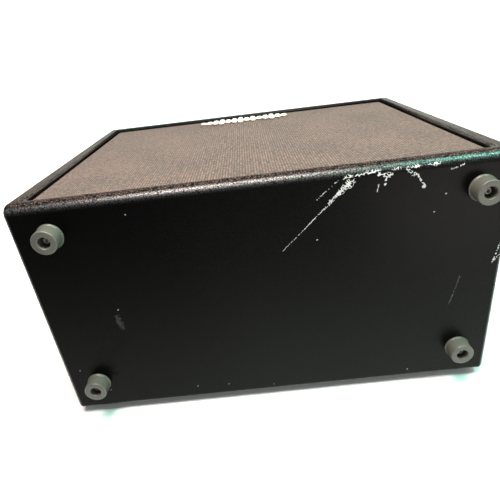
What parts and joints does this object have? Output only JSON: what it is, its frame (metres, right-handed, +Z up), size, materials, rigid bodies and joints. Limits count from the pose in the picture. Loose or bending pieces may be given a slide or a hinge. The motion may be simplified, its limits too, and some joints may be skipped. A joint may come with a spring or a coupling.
{
  "type": "stage monitor wedge",
  "caption": "Wedge-shaped two-way floor loudspeaker: vinyl-covered box with sloped sole, recessed cloth grille, rubber feet, strap handle and connector dish.",
  "frame": {"origin": "on the floor, under the middle of the bounding box, with the wedge lying on its sole feet", "axes": "+X across the width towards the connector dish, +Y from the base panel with the four feet towards the low end, +Z up"},
  "size_m": [0.5034, 0.4838, 0.2501],
  "materials": {
    "plywood": "raw birch plywood",
    "vinyl": "black grained vinyl",
    "black_board": "board painted flat black",
    "grille_cloth": "woven basket cloth",
    "grille_wood": "raw fibreboard",
    "black_plastic": "satin moulded",
    "cream_plastic": "moulded, satin",
    "rubber": "moulded grey-black rubber",
    "black_steel": "pressed steel, black",
    "zinc_steel": "zinc plated",
    "bare_steel": "turned",
    "nickel": "nickel plated",
    "ferrite": "sintered ceramic magnet",
    "paper_cone": "pressed paper pulp",
    "spider_cloth": "doped cotton",
    "copper_coil": "enamelled copper wire",
    "circuit_board": "glass-fibre board",
    "film_cap": "dipped film",
    "cement": "ceramic cased",
    "lead_jacket": "two-core jacket",
    "wadding": "polyester wadding",
    "foam": "closed-cell foam"
  },
  "bodies": {
    "grille": {"grille_frame": "grille_wood", "grille_cloth": "grille_cloth", "grille_pegs": "black_plastic", "badge": "cream_plastic"},
    "cone": {"voice_coil": "copper_coil", "woofer_cone": "paper_cone", "woofer_dust_cap": "paper_cone"},
    "handle": {"handle_grip": "rubber"},
    "knob": {"level_knob": "black_plastic", "level_shaft": "bare_steel"},
    "cabinet": {"baffle_board": "black_board", "base_feet": "rubber", "base_foot_screws": "zinc_steel", "base_foot_washers": "zinc_steel", "base_panel": "plywood", "battens": "plywood", "crossover_board": "circuit_board", "crossover_capacitors": "film_cap", "crossover_coils": "copper_coil", "crossover_resistors": "cement", "crossover_screws": "zinc_steel", "crossover_standoffs": "black_plastic", "dish_nuts": "nickel", "dish_screws": "zinc_steel", "driver_cover": "black_plastic", "driver_magnet": "ferrite", "driver_plate": "zinc_steel", "glue_blocks": "plywood", "grille_grommets": "rubber", "handle_caps": "black_plastic", "handle_screws": "zinc_steel", "handle_strap_ends": "rubber", "horn_flare": "black_plastic", "horn_gasket": "foam", "horn_screws": "zinc_steel", "internal_leads": "lead_jacket", "jack_dish": "black_steel", "jack_sockets": "black_plastic", "left_side_panel": "plywood", "level_control": "black_plastic", "low_end_panel": "plywood", "port_tubes": "black_plastic", "right_side_panel": "plywood", "sole_feet": "rubber", "sole_foot_screws": "zinc_steel", "sole_panel": "black_board", "sole_screws": "zinc_steel", "vinyl_covering": "vinyl", "wadding": "wadding", "woofer_basket": "black_steel", "woofer_bolts": "zinc_steel", "woofer_front_plate": "zinc_steel", "woofer_gasket": "foam", "woofer_magnet": "ferrite", "woofer_pole": "zinc_steel", "woofer_spider": "spider_cloth", "woofer_surround": "foam", "woofer_tee_nuts": "zinc_steel", "woofer_terminal": "circuit_board"}
  },
  "joints": [
    {"name": "grille_pull", "type": "slide", "parent": "cabinet", "child": "grille", "axis": [0, 0.4226, 0.9063], "range_m": [0, 0.12]},
    {"name": "cone_excursion", "type": "slide", "parent": "cabinet", "child": "cone", "axis": [0, 0.4226, 0.9063], "range_m": [-0.004, 0.004], "stiffness_N_per_m": 1800, "deforming": ["woofer_surround", "woofer_spider"]},
    {"name": "handle_lift", "type": "slide", "parent": "cabinet", "child": "handle", "axis": [0, 0.9063, -0.4226], "range_m": [0, 0.022], "stiffness_N_per_m": 300, "deforming": ["handle_strap_ends"]},
    {"name": "level_turn", "type": "hinge", "parent": "cabinet", "child": "knob", "pos_m": [0.2343, -0.04037, 0.09853], "axis": [1, 0, 0], "range_deg": [-150, 150]}
  ]
}
